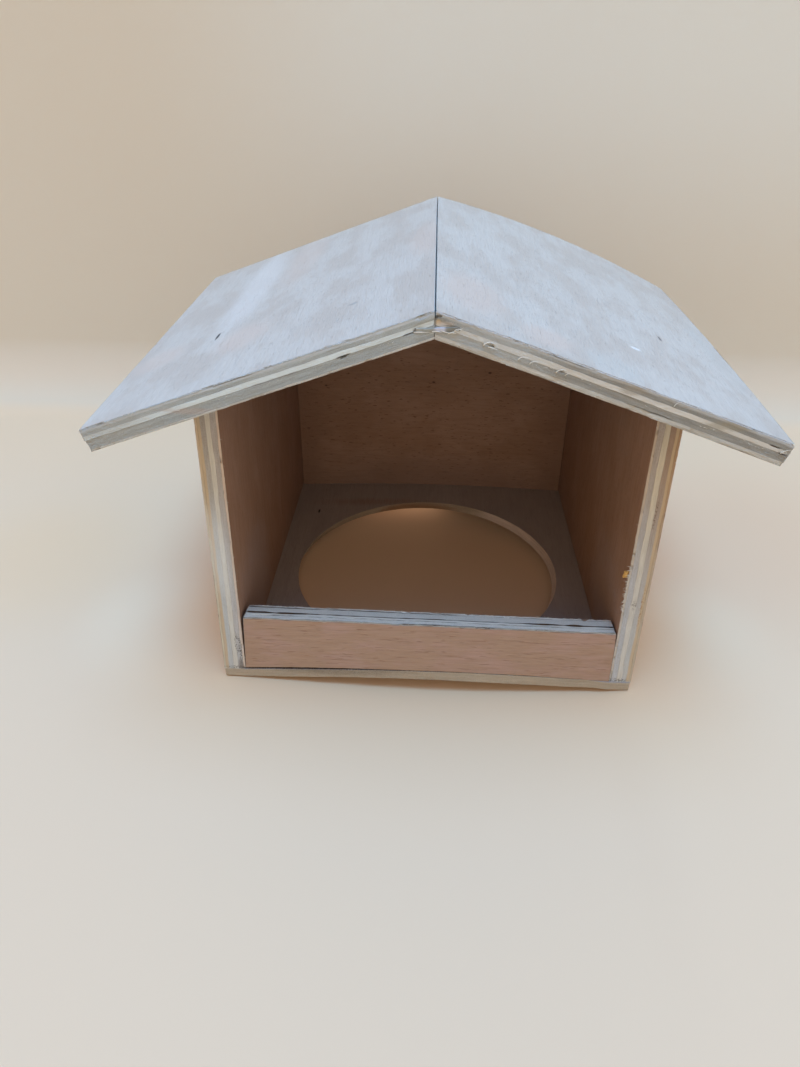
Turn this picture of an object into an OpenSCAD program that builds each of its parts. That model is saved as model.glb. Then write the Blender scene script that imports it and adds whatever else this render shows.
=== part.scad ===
// Open-fronted nest box in five-ply plywood: two side walls, a gabled back
// wall and a low front lip stand on a thin floor with a large round hole,
// under a two-panel roof that a wire staple ties at the ridge.
// X runs to the right, Y to the back and Z up. The origin lies on the level
// that the box stands on, under the middle of the roof.

/* [Body] */
// Width over the two side walls
body_w = 119.5; // [110:0.5:180]
// Depth of the side walls, front to back
body_d = 121.8; // [110:0.1:180]
// Height of the roof's underside at the ridge, above the ground
ridge_h = 109.5; // [80:0.1:160]
// How far the body stands to the right of the ridge
body_shift = 0.6; // [-2:0.1:2]

/* [Wall plywood] */
// Thickness of the outer face veneer
outer_face_t = 0.7; // [0.3:0.1:1]
// Thickness of the crossband behind the outer face
outer_band_t = 2.2; // [1:0.1:3]
// Thickness of the core
wall_core_t = 1.4; // [0.8:0.1:3]
// Thickness of the crossband behind the inner face
inner_band_t = 1.5; // [1:0.1:3]
// Thickness of the inner face veneer
inner_face_t = 0.6; // [0.3:0.1:1]
// Gap at each end of the back wall
back_gap = 0.15; // [0.05:0.05:0.5]

/* [Roof plywood] */
// Thickness of the top face veneer
roof_top_t = 0.4; // [0.3:0.1:1]
// Thickness of the upper crossband
roof_upper_t = 1.5; // [1:0.1:3]
// Thickness of the core
roof_core_t = 1.1; // [0.8:0.1:3]
// Thickness of the lower crossband and the underside veneer together
roof_lower_t = 2.9; // [2:0.1:4]
// Thickness of the left panel's underside veneer
left_under_t = 0.5; // [0.3:0.1:1.4]
// Thickness of the right panel's underside veneer
right_under_t = 1.2; // [0.3:0.1:1.4]

/* [Roof] */
// Slope of the left panel, in degrees
left_pitch = 19.9; // [12:0.1:30]
// Slope of the right panel, in degrees
right_pitch = 19.4; // [12:0.1:30]
// Length of the left panel's underside, ridge to eave
left_slope = 85.2; // [70:0.1:130]
// Length of the right panel's underside at the front, ridge to eave
right_slope = 85; // [70:0.1:130]
// Length of the right panel's underside at the back, ridge to eave
right_slope_back = 86; // [70:0.1:130]
// How far the roof stands out in front of the side walls
front_overhang = 12.5; // [2:0.1:30]
// How far the roof stands out behind the side walls
back_overhang = 0; // [0:0.1:20]
// Open joint between the panels at the ridge
ridge_gap = 0.3; // [0.1:0.1:0.6]
// Rise of the right panel's warped back edge at mid slope
back_warp = 2.8; // [0:0.1:4]
// Drop of the right panel's warped back corner at the eave
back_drop = 1.3; // [0:0.1:3]
// Rise of the right panel's front edge at mid slope
front_warp = 0.2; // [0:0.1:2]
// Rise of the right panel's eave at mid depth
eave_warp = 0.8; // [0:0.1:2]

/* [Front lip] */
// Height of the lip at its left end, above the floor
lip_left_h = 19.4; // [8:0.1:40]
// Height of the lip at its right end, above the floor
lip_right_h = 17.9; // [8:0.1:40]
// Gap at each end of the lip
lip_gap = 0.3; // [0.1:0.05:0.6]

/* [Floor] */
// Thickness of the floor panel
floor_t = 2.7; // [2:0.1:5]
// How far the floor shows in front of the side walls
floor_lap = 0.75; // [0:0.05:3]
// Rise of the bowed floor midway between the walls
floor_bow = 1.5; // [0.3:0.1:3]
// Diameter of the hole for a nest pan
hole_d = 90.5; // [60:0.5:92]
// Distance from the wall fronts back to the hole's centre
hole_y = 54.8; // [52:0.1:60]
// How far the hole's centre lies to the left of the body's middle
hole_shift = 0.5; // [-1:0.1:1]

/* [Ridge staple] */
// Outside width of the crown
staple_crown = 10.2; // [8:0.1:13]
// Width of the flat wire, up and down
staple_wire_w = 1.25; // [0.8:0.05:1.6]
// Thickness of the flat wire
staple_wire_t = 0.5; // [0.4:0.05:0.8]
// Length of each leg behind the crown
staple_leg = 8; // [5:0.5:14]
// How far the crown stands proud of the roof's front edge
staple_proud = 0.1; // [0.05:0.05:0.4]
// Height of the crown's middle above the ridge's underside
staple_rise = 2.3; // [1.5:0.1:4]
// Tilt of the crown, in degrees
staple_tilt = 1.8; // [0:0.1:4]

/* [Hidden] */

// Running total of a list of thicknesses, starting from 0
function layers(list, i = 0, sum = 0) =
    i == len(list) ? [sum] : concat([sum], layers(list, i + 1, sum + list[i]));

// Ply boundaries of a roof panel from its underside up
function roof_plies(under) =
    layers([under, roof_lower_t - under, roof_core_t, roof_upper_t, roof_top_t]);
left_plies = roof_plies(left_under_t);
right_plies = roof_plies(right_under_t);

// Ply boundaries of the wall board from its outer face in, and from its inner
// face out; the back wall and the lip turn their inner faces to the front
wall_plies = layers([outer_face_t, outer_band_t, wall_core_t, inner_band_t, inner_face_t]);
front_plies = layers([inner_face_t, inner_band_t, wall_core_t, outer_band_t, outer_face_t]);
wall_t = wall_plies[5];

// Roof and body from front to back
roof_d = front_overhang + body_d + back_overhang;
roof_front = -roof_d / 2;
wall_front = roof_front + front_overhang;
back_inner = wall_front + body_d - wall_t;

// The side walls' outer faces, and the span between their inner faces
left_x = body_shift - body_w / 2;
right_x = body_shift + body_w / 2;
half_span = body_w / 2 - wall_t;

// Radius of the floor's bow, which starts at the side walls' inner faces
bow_r = (pow(half_span, 2) + pow(floor_bow, 2)) / (2 * floor_bow);
bow_facets = 1440;
hole_facets = 180;
// How far a cutter runs past the faces that it cuts
past = 1;

// Segments of the warped roof panel, along its slope and along its depth
slope_steps = 10;
depth_steps = 6;

ply_color = "tan";
band_color = "darkkhaki";
core_color = "wheat";
face_color = "rosybrown";
inner_color = "sienna";

// Height of the roof's underside over x, left or right of the ridge
function roof_under(x) = ridge_h - abs(x) * tan(x < 0 ? left_pitch : right_pitch);

// Point of a panel's section: at its ridge end, w above the underside
function ridge_point(side, pitch, w) =
    [side * ridge_gap / 2, ridge_h - ridge_gap / 2 * tan(pitch) + w / cos(pitch)];

// Point of a panel's section: at its square-cut eave, w above the underside
function eave_point(side, pitch, slope, w) =
    [side * (slope * cos(pitch) + w * sin(pitch)), ridge_h - slope * sin(pitch) + w * cos(pitch)];

// Stands an outline drawn in X and Z upright, from y0 back to y1
module upright(y0, y1) {
    translate([0, y1, 0])
        rotate([90, 0, 0])
            linear_extrude(y1 - y0)
                children();
}

// Disc whose upper edge is the floor's bow, starting at height z at the walls
module bow_disc(z) {
    translate([body_shift, z + floor_bow - bow_r])
        circle(r = bow_r, $fn = bow_facets);
}

// One ply of a side wall, between two depths from its outer face,
// with its top edge bevelled to the roof
module wall_ply(side, near, far) {
    outer = side < 0 ? left_x : right_x;
    x0 = outer - side * near;
    x1 = outer - side * far;
    upright(wall_front, wall_front + body_d)
        polygon([[x0, floor_t], [x1, floor_t], [x1, roof_under(x1)], [x0, roof_under(x0)]]);
}

// One ply of the back wall, between two depths from its inner face,
// with a gabled top and a foot that follows the bowed floor
module back_ply(near, far) {
    x0 = left_x + wall_t + back_gap;
    x1 = right_x - wall_t - back_gap;
    upright(back_inner + near, back_inner + far)
        difference() {
            polygon([
                [x0, floor_t], [x1, floor_t], [x1, roof_under(x1)],
                [0, ridge_h], [x0, roof_under(x0)]
            ]);
            bow_disc(floor_t);
        }
}

// One ply of the front lip, between two depths from its front face
module lip_ply(near, far) {
    x0 = left_x + wall_t + lip_gap;
    x1 = right_x - wall_t - lip_gap;
    upright(wall_front + near, wall_front + far)
        difference() {
            polygon([
                [x0, floor_t], [x1, floor_t],
                [x1, floor_t + lip_right_h], [x0, floor_t + lip_left_h]
            ]);
            bow_disc(floor_t);
        }
}

// One ply of the flat left roof panel, between two heights over its underside
module left_roof_ply(low, high) {
    difference() {
        upright(roof_front, roof_front + roof_d)
            polygon([
                ridge_point(-1, left_pitch, low),
                ridge_point(-1, left_pitch, high),
                eave_point(-1, left_pitch, left_slope, high),
                eave_point(-1, left_pitch, left_slope, low)
            ]);
        staple_wire();
    }
}

// Rise of the warped right panel at share u of its slope and v of its depth:
// a parabola across the slope that grows to the back, one along the eave,
// and a twist that lowers the back corner
function warp(u, v) =
    4 * u * (1 - u) * (front_warp + (back_warp - front_warp) * v)
    + 4 * v * (1 - v) * u * eave_warp
    - u * v * back_drop;

// Point of the right panel at shares u and v, w above the underside
function warped_point(u, v, w) =
    let (
        slope = right_slope + v * (right_slope_back - right_slope),
        top = ridge_point(1, right_pitch, w),
        low = eave_point(1, right_pitch, slope, w),
        flat = top + u * (low - top)
    )
    [flat[0], roof_front + v * roof_d, flat[1] + warp(u, v)];

// One ply of the warped right roof panel, between two heights over its
// underside, as a closed grid of slope_steps by depth_steps cells
module right_roof_ply(low, high) {
    n = slope_steps;
    m = depth_steps;
    row = m + 1;
    sheet = (n + 1) * row;
    points = [
        for (w = [low, high], i = [0 : n], j = [0 : m]) warped_point(i / n, j / m, w)
    ];
    cells = [for (i = [0 : n - 1], j = [0 : m - 1]) i * row + j];
    under = [for (c = cells) each [[c, c + row, c + row + 1], [c, c + row + 1, c + 1]]];
    upper = [for (f = under) [f[2] + sheet, f[1] + sheet, f[0] + sheet]];
    // Edge strips, each a list of sheet positions with the panel on its left
    front = [for (i = [0 : n]) i * row];
    eave = [for (j = [0 : m]) n * row + j];
    back = [for (i = [0 : n]) (n - i) * row + m];
    ridge = [for (j = [0 : m]) m - j];
    edges = [
        for (strip = [front, eave, back, ridge], k = [0 : len(strip) - 2])
            let (a = strip[k], b = strip[k + 1])
            each [[a, a + sheet, b + sheet], [a, b + sheet, b]]
    ];
    difference() {
        polyhedron(points = points, faces = concat(under, upper, edges), convexity = 4);
        staple_wire();
    }
}

// The floor board's section: flat under the walls and bowed between them
module floor_section() {
    difference() {
        union() {
            translate([left_x, 0])
                square([body_w, floor_t]);
            intersection() {
                bow_disc(floor_t);
                translate([body_shift - half_span, floor_t / 2])
                    square([2 * half_span, floor_bow + floor_t]);
            }
        }
        bow_disc(0);
    }
}

module floor_panel() {
    color(ply_color)
        difference() {
            upright(wall_front - floor_lap, wall_front + body_d)
                floor_section();
            translate([body_shift - hole_shift, wall_front + hole_y, -past])
                cylinder(d = hole_d, h = floor_t + floor_bow + 2 * past, $fn = hole_facets);
        }
}

// The staple's flat wire: a crown across the joint and two legs behind it
module staple_wire() {
    crown_y = roof_front - staple_proud;
    translate([body_shift, crown_y, ridge_h + staple_rise])
        rotate([0, -staple_tilt, 0])
            translate([-staple_crown / 2, 0, -staple_wire_w / 2])
                linear_extrude(staple_wire_w)
                    difference() {
                        square([staple_crown, staple_leg]);
                        translate([staple_wire_t, staple_wire_t])
                            square([staple_crown - 2 * staple_wire_t, staple_leg]);
                    }
}

module ridge_staple() {
    color("silver")
        staple_wire();
}

module left_wall_outer_veneer() { color(face_color) wall_ply(-1, wall_plies[0], wall_plies[1]); }
module left_wall_outer_band() { color(band_color) wall_ply(-1, wall_plies[1], wall_plies[2]); }
module left_wall_core() { color(core_color) wall_ply(-1, wall_plies[2], wall_plies[3]); }
module left_wall_inner_band() { color(band_color) wall_ply(-1, wall_plies[3], wall_plies[4]); }
module left_wall_inner_veneer() { color(inner_color) wall_ply(-1, wall_plies[4], wall_plies[5]); }

module right_wall_outer_veneer() { color(face_color) wall_ply(1, wall_plies[0], wall_plies[1]); }
module right_wall_outer_band() { color(band_color) wall_ply(1, wall_plies[1], wall_plies[2]); }
module right_wall_core() { color(core_color) wall_ply(1, wall_plies[2], wall_plies[3]); }
module right_wall_inner_band() { color(band_color) wall_ply(1, wall_plies[3], wall_plies[4]); }
module right_wall_inner_veneer() { color(inner_color) wall_ply(1, wall_plies[4], wall_plies[5]); }

module back_wall_inner_veneer() { color(inner_color) back_ply(front_plies[0], front_plies[1]); }
module back_wall_inner_band() { color(band_color) back_ply(front_plies[1], front_plies[2]); }
module back_wall_core() { color(core_color) back_ply(front_plies[2], front_plies[3]); }
module back_wall_outer_band() { color(band_color) back_ply(front_plies[3], front_plies[4]); }
module back_wall_outer_veneer() { color(face_color) back_ply(front_plies[4], front_plies[5]); }

module front_lip_face_veneer() { color(face_color) lip_ply(front_plies[0], front_plies[1]); }
module front_lip_face_band() { color(band_color) lip_ply(front_plies[1], front_plies[2]); }
module front_lip_core() { color(core_color) lip_ply(front_plies[2], front_plies[3]); }
module front_lip_back_band() { color(band_color) lip_ply(front_plies[3], front_plies[4]); }
module front_lip_back_veneer() { color(inner_color) lip_ply(front_plies[4], front_plies[5]); }

module left_roof_under_veneer() { color(face_color) left_roof_ply(left_plies[0], left_plies[1]); }
module left_roof_lower_band() { color(band_color) left_roof_ply(left_plies[1], left_plies[2]); }
module left_roof_core() { color(core_color) left_roof_ply(left_plies[2], left_plies[3]); }
module left_roof_upper_band() { color(band_color) left_roof_ply(left_plies[3], left_plies[4]); }
module left_roof_top_veneer() { color("lavender") left_roof_ply(left_plies[4], left_plies[5]); }

module right_roof_under_veneer() { color(face_color) right_roof_ply(right_plies[0], right_plies[1]); }
module right_roof_lower_band() { color(band_color) right_roof_ply(right_plies[1], right_plies[2]); }
module right_roof_core() { color(core_color) right_roof_ply(right_plies[2], right_plies[3]); }
module right_roof_upper_band() { color(band_color) right_roof_ply(right_plies[3], right_plies[4]); }
module right_roof_top_veneer() { color("lavender") right_roof_ply(right_plies[4], right_plies[5]); }

left_wall_outer_veneer();
left_wall_outer_band();
left_wall_core();
left_wall_inner_band();
left_wall_inner_veneer();
right_wall_outer_veneer();
right_wall_outer_band();
right_wall_core();
right_wall_inner_band();
right_wall_inner_veneer();
back_wall_inner_veneer();
back_wall_inner_band();
back_wall_core();
back_wall_outer_band();
back_wall_outer_veneer();
front_lip_face_veneer();
front_lip_face_band();
front_lip_core();
front_lip_back_band();
front_lip_back_veneer();
left_roof_under_veneer();
left_roof_lower_band();
left_roof_core();
left_roof_upper_band();
left_roof_top_veneer();
right_roof_under_veneer();
right_roof_lower_band();
right_roof_core();
right_roof_upper_band();
right_roof_top_veneer();
floor_panel();
ridge_staple();
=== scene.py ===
import math

import bpy
import numpy as np
from mathutils import Matrix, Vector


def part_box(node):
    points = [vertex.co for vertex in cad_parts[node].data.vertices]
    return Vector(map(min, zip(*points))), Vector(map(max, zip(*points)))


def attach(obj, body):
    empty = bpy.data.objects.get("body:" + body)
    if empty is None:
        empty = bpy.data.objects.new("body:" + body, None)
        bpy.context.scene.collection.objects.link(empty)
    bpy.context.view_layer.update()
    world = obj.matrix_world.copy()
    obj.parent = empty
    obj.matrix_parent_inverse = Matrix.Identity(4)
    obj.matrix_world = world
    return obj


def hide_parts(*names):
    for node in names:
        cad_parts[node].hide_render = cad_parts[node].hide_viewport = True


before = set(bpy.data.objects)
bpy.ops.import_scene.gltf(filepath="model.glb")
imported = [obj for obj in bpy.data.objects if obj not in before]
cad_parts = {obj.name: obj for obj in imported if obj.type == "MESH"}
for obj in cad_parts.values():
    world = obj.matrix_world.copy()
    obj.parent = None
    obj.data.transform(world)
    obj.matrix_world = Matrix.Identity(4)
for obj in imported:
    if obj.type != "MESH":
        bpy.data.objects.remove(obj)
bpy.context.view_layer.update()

# Open-fronted plywood nest box. Lengths are in mm unless a note says otherwise,
# X runs to the right, Y to the back and Z up. Where a table is keyed by side,
# -1 is the left one and 1 the right one.
scene = bpy.context.scene
scene.view_settings.view_transform = "Standard"
unit = 0.001  # metres in a mm
print("frame:", len(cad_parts), "nodes")


def smooth(t):
    # 0 to 1 with flat ends: 3t^2 - 2t^3 of t held between 0 and 1
    t = np.clip(t, 0, 1)
    return t * t * (3 - 2 * t)


def lattice(cell, seed):
    # A repeatable number between -1 and 1 for each whole-number cell
    cell = cell.astype(np.int64)
    n = cell[..., 0] * 73856093 ^ cell[..., 1] * 19349663 ^ cell[..., 2] * 83492791 ^ seed * 2654435761
    n = (n ^ (n >> 13)) * 1274126177 & 0xFFFFFFFF
    n = (n ^ (n >> 16)) * 2246822519 & 0xFFFFFFFF
    return ((n ^ (n >> 15)) & 0xFFFFFF) / float(0x7FFFFF) - 1


def noise(points, size, seed):
    # Random values at lattice corners `size` apart, blended smoothly in between
    p = np.asarray(points, float) / size
    low = np.floor(p)
    part = smooth(p - low)
    total = 0
    for corner in np.ndindex(2, 2, 2):
        share = np.prod(np.where(corner, part, 1 - part), axis=-1)
        total = total + share * lattice(low + corner, seed)
    return total


def grid(*parts):
    # Coordinates of different shapes, spread to a common one and put side by side
    return np.stack(np.broadcast_arrays(*parts), axis=-1)


def unitLong(ways):
    return ways / np.linalg.norm(ways, axis=-1, keepdims=True)


def limits(*nodes):
    # Box round some CAD nodes, in mm
    boxes = [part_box(n) for n in nodes]
    low = np.min([np.array(b[0]) for b in boxes], axis=0) / unit
    high = np.max([np.array(b[1]) for b in boxes], axis=0) / unit
    return low, high


def shellFaces(rings, sides):
    # Faces of a tube of rings whose two ends close on poles, the last two points
    i = np.arange(sides)
    j = (i + 1) % sides
    base = np.arange(rings - 1)[:, None] * sides
    quads = grid(base + i, base + j, base + sides + j, base + sides + i).reshape(-1, 4)
    last, end = rings * sides, (rings - 1) * sides
    return quads, np.concatenate([grid(j, i, last), grid(end + i, end + j, last + 1)])


def makePiece(name, shell, material, nodes=()):
    # Puts a shell into a mesh, outward side out, and ties the piece in. A shell is points
    # in mm, quads and triangles, and may go on with which faces are smooth and its fields
    points, quads, triangles, smoothFaces, fields = shell if len(shell) == 5 else (*shell, True, {})
    faces = [np.asarray(quads, np.int64).reshape(-1, 4), np.asarray(triangles, np.int64).reshape(-1, 3)]
    fan = np.concatenate([faces[0][:, [0, 1, 2]], faces[0][:, [0, 2, 3]], faces[1]])
    a, b, c = (points[fan[:, k]] for k in range(3))
    if np.einsum("ij,ij->i", a, np.cross(b, c)).sum() < 0:  # inside out
        faces = [f[:, ::-1] for f in faces]
    mesh = bpy.data.meshes.new(name)
    mesh.vertices.add(len(points))
    mesh.vertices.foreach_set("co", (points * unit).astype(np.float32).ravel())
    corners = np.concatenate([f.ravel() for f in faces]).astype(np.int32)
    counts = np.repeat([4, 3], [len(f) for f in faces])
    mesh.loops.add(len(corners))
    mesh.loops.foreach_set("vertex_index", corners)
    mesh.polygons.add(len(counts))
    mesh.polygons.foreach_set("loop_start", (np.cumsum(counts) - counts).astype(np.int32))
    mesh.polygons.foreach_set("use_smooth", np.zeros(len(counts), bool) | smoothFaces)
    for key, values in fields.items():
        kind, part = ("FLOAT_VECTOR", "vector") if values.ndim == 2 else ("FLOAT", "value")
        layer = mesh.attributes.new(key, kind, "POINT")
        layer.data.foreach_set(part, values.astype(np.float32).ravel())
    mesh.update(calc_edges=True)
    mesh.validate()
    mesh.materials.append(material)
    piece = bpy.data.objects.new(name, mesh)
    scene.collection.objects.link(piece)
    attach(piece, "root")
    if nodes:
        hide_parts(*nodes)


camera = {
    "place": (-0.0006, -0.2343, 0.1659),  # metres
    "yaw": 2.198,  # degrees to the left
    "pitch": 32.277,  # degrees down
    "roll": 0.495,
    "lens": 27.06,  # on a 36 mm high picture
    "sensor": 36, "near": 0.01, "far": 20,  # the last two in metres
}


def addCamera():
    eye = bpy.data.objects.new("camera", bpy.data.cameras.new("camera"))
    eye.data.lens = camera["lens"]
    eye.data.sensor_width = camera["sensor"]
    eye.data.clip_start = camera["near"]
    eye.data.clip_end = camera["far"]
    yaw, pitch, roll = (math.radians(camera[k]) for k in ("yaw", "pitch", "roll"))
    turn = Matrix.Rotation(yaw, 3, "Z") @ Matrix.Rotation(math.pi / 2 - pitch, 3, "X")
    turn = turn @ Matrix.Rotation(roll, 3, "Z")
    eye.matrix_world = Matrix.Translation(camera["place"]) @ turn.to_4x4()
    scene.collection.objects.link(eye)
    scene.camera = eye


addCamera()
print("camera placed")


def tone(colour):
    # Linear colour of a reflectance given on the 0-255 screen scale
    part = [c / 255 for c in colour]
    return (*(c / 12.92 if c <= 0.04045 else ((c + 0.055) / 1.055) ** 2.4 for c in part), 1)


def newMaterial(name):
    material = bpy.data.materials.new(name)
    material.use_nodes = True
    tree = material.node_tree
    return material, tree, tree.nodes["Principled BSDF"]


def add(tree, kind, inputs=None, **settings):
    # One node; an input that is a socket is linked, any other is set
    made = tree.nodes.new("ShaderNode" + kind)
    for key, value in settings.items():
        setattr(made, key, value)
    for key, value in (inputs or {}).items():
        if isinstance(value, bpy.types.NodeSocket):
            tree.links.new(value, made.inputs[key])
        else:
            made.inputs[key].default_value = value
    return made


def blend(tree, share, first, second, kind="MIX"):
    # Each colour is a socket, a linear one of four numbers or a 0-255 one of three
    first, second = (tone(c) if isinstance(c, tuple) and len(c) == 3 else c for c in (first, second))
    made = add(tree, "Mix", {0: share, 6: first, 7: second}, data_type="RGBA", blend_type=kind)
    return made.outputs[2]


def laid(tree, pattern, share, under, over):
    # One colour over another, where the pattern is and by its share
    return blend(tree, times(tree, pattern, share), under, over)


def darken(tree, share, colour, pattern, low):
    # By its share, the colour times a grey that follows the pattern from `low` to white
    grey = blend(tree, pattern, (low, low, low), (255, 255, 255))
    return blend(tree, share, colour, blend(tree, 1, colour, grey, "MULTIPLY"))


def sums(tree, kind, first, second=0, third=0):
    return add(tree, "Math", {0: first, 1: second, 2: third}, operation=kind).outputs[0]


def times(tree, first, second):
    return sums(tree, "MULTIPLY", first, second)


def vectors(tree, kind, first, second=(0, 0, 0)):
    made = add(tree, "VectorMath", {0: first, 1: second}, operation=kind)
    return made.outputs["Value" if kind in ("LENGTH", "DISTANCE", "DOT_PRODUCT") else 0]


def between(tree, value, low, high, start=0, end=1):
    # start below low, end above high, and a smooth step in between
    made = add(tree, "MapRange", {"Value": value, 1: low, 2: high, 3: start, 4: end})
    made.interpolation_type = "SMOOTHSTEP"
    return made.outputs[0]


def stretched(tree, coords, size, detail, rough, shift):
    # Noise whose blotches are size = (x, y, z) mm big
    scaled = vectors(tree, "MULTIPLY", coords, tuple(1 / s for s in size))
    moved = vectors(tree, "ADD", scaled, (shift, shift * 1.7, shift * 0.6))
    pattern = {"Vector": moved, "Scale": 1, "Detail": detail, "Roughness": rough}
    return add(tree, "TexNoise", pattern).outputs[0]


def blotches(tree, coords, size, detail, rough, shift, low, high, end=1):
    # The same noise drawn apart: 0 below low and `end` above high
    return between(tree, stretched(tree, coords, size, detail, rough, shift), low, high, 0, end)


def grainSpace(tree, grain, tilt=0, skew=0):
    # Object coordinates in mm, plain and turned so that X runs along the grain:
    # tilt is about Y for a sloping board, skew turns the marks within the face
    plain = vectors(tree, "MULTIPLY", add(tree, "TexCoord").outputs["Object"], (1000,) * 3)
    turns = [((0, 1, 0), tilt)] + {"x": [], "y": [((0, 0, 1), -90)], "z": [((0, 1, 0), 90)]}[grain]
    turned = plain
    for axis, angle in turns + ([((0, 0, 1), skew)] if skew else []):
        turn = {"Vector": turned, "Axis": axis, "Angle": math.radians(angle)}
        turned = add(tree, "VectorRotate", turn).outputs[0]
    return plain, turned


def coat(tree, shader, colour, grain, rough, level, relief, strength):
    # Colour, a roughness that follows the grain between two values, and a relief in mm
    tree.links.new(colour, shader.inputs["Base Color"])
    worn = add(tree, "MapRange", {"Value": grain, 1: 0.3, 2: 0.7, 3: rough[0], 4: rough[1]})
    tree.links.new(worn.outputs[0], shader.inputs["Roughness"])
    bump = add(tree, "Bump", {"Height": level, "Distance": relief * unit, "Strength": strength})
    tree.links.new(bump.outputs[0], shader.inputs["Normal"])


plainWood = {
    "grain": "x", "tilt": 0, "seed": 0,
    "face": (167, 133, 110),  # the veneer
    "faceShade": (150, 116, 94),  # its darker growth lines
    "patch": (176, 145, 123), "patchSize": 16, "patchLong": 1.9, "patchShare": 0.5,
    "lineLong": 26, "lineShare": 0.6, "fineShare": 0.35,
    "pore": (110, 78, 60), "poreShare": 0.35, "poreSize": (2.4, 0.17, 0.17),  # short dark dashes
    "fibre": (205, 178, 156), "fibreShare": 0.2,  # short pale dashes
    "fibreSkew": 0,
    "edge": (213, 208, 199),  # sawn edge, along the grain
    "endGrain": (159, 156, 145),  # sawn edge, across the grain
    "edgeShade": (120, 112, 100),
    "sawShare": 0.34, "broadShare": 0.5,  # how strongly saw marks and soft bands darken it
    "glue": (120, 104, 86), "glueShare": 0.5, "glueWide": 0.16,
    # painted shade: the dark colour along a crack's edges
    "crack": (58, 52, 44),
    # on the walls the climbing tint is in part painted shade under the roof's overhang
    "climb": (0, 1), "climbTone": (255, 255, 255),  # tint of the edge, from one height to another
    "rim": (0, 0), "rimTone": (200, 170, 130), "rimShare": 0,  # stained part of the edge, by depth
    "rough": 0.82, "relief": 0.12,
    "spots": (),  # place, size, colour and strength; one that ends in "specks" is only specks
}


def veneerFace(tree, look, along, skewed):
    # Soft patches, growth lines, dark pores and scuffed pale fibres: gives the colour
    # and the patterns that the relief follows
    seed, size = look["seed"], look["patchSize"]
    patch = blotches(tree, along, (size * look["patchLong"], size, size), 3, 0.6, seed + 3, 0.4, 0.62)
    lines = blotches(tree, along, (look["lineLong"], 0.75, 0.75), 4, 0.6, seed + 11, 0.42, 0.66)
    fine = stretched(tree, along, (5, 0.22, 0.22), 2, 0.6, seed + 17)
    pores = blotches(tree, along, look["poreSize"], 1, 0.5, seed + 29, 0.66, 0.74)
    fibres = blotches(tree, skewed, (3.2, 0.24, 0.24), 2, 0.6, seed + 41, 0.62, 0.72)
    fibres = times(tree, fibres, blotches(tree, along, (14, 9, 9), 2, 0.5, seed + 47, 0.38, 0.6))
    face = laid(tree, patch, look["patchShare"], look["face"], look["patch"])
    face = laid(tree, lines, look["lineShare"], face, look["faceShade"])
    face = darken(tree, look["fineShare"], face, fine, 90)
    face = laid(tree, pores, look["poreShare"], face, look["pore"])
    return laid(tree, fibres, look["fibreShare"], face, look["fibre"]), lines, fine, pores, fibres


def sawnEdge(tree, look, plain):
    # Saw streaks and soft bands, end grain, a tint that climbs (on the walls in part painted
    # shade under the roof), a stained rim, glue lines and cracks with painted shade along
    # their edges: gives the colour and the patterns that the relief follows
    seed, shade = look["seed"], look["edgeShade"]
    across, cracked = (add(tree, "Attribute", attribute_name=n).outputs["Fac"] for n in ("endGrain", "dark"))
    run = add(tree, "Attribute", attribute_name="run").outputs["Vector"]
    _, depth, border = add(tree, "SeparateXYZ", {0: run}).outputs
    saw = blotches(tree, run, (4.5, 0.16, 50), 3, 0.65, seed + 53, 0.3, 0.72)
    broad = stretched(tree, run, (9, 0.7, 50), 2, 0.5, seed + 59)
    dots = blotches(tree, plain, (0.2, 0.2, 0.2), 2, 0.6, seed + 61, 0.35, 0.7)
    edge = blend(tree, across, look["edge"], look["endGrain"])
    edge = laid(tree, saw, look["sawShare"], edge, shade)
    edge = laid(tree, times(tree, dots, across), 0.3, edge, shade)
    edge = darken(tree, look["broadShare"], edge, broad, 150)
    # tint that climbs with height: on the walls in part painted shade under the roof's overhang
    climb = between(tree, add(tree, "SeparateXYZ", {0: plain}).outputs[2], *look["climb"])
    edge = blend(tree, climb, edge, blend(tree, 1, edge, look["climbTone"], "MULTIPLY"))
    if look["rimShare"]:
        wavy = sums(tree, "MULTIPLY_ADD", broad, 0.5, sums(tree, "SUBTRACT", depth, 0.25))
        edge = blend(tree, between(tree, wavy, *look["rim"], look["rimShare"], 0), edge, look["rimTone"])
    glued = between(tree, border, 0.02, look["glueWide"], 1, 0)
    glued = times(tree, glued, blotches(tree, run, (5, 0.5, 50), 2, 0.5, seed + 67, 0.4, 0.62))
    edge = laid(tree, glued, look["glueShare"], edge, look["glue"])
    # cracks' edges painted dark: painted shade in the gaps
    return blend(tree, cracked, edge, look["crack"]), saw, dots


def addSpots(tree, look, plain, fine, colour):
    # Stains and nicks, and ovals of painted light and shade: soft ovals, frayed along the grain
    specks = blotches(tree, plain, (0.35, 0.35, 0.35), 2, 0.6, look["seed"] + 71, 0.5, 0.58)
    for place, size, shade, share, *speckled in look["spots"]:
        gap = vectors(tree, "MULTIPLY", vectors(tree, "SUBTRACT", plain, place), tuple(1 / s for s in size))
        far = sums(tree, "ADD", vectors(tree, "LENGTH", gap), times(tree, fine, 0.8))
        mark = between(tree, far, 0.8, 1.5, share, 0)
        colour = blend(tree, times(tree, mark, specks) if speckled else mark, colour, shade)
    return colour


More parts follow.
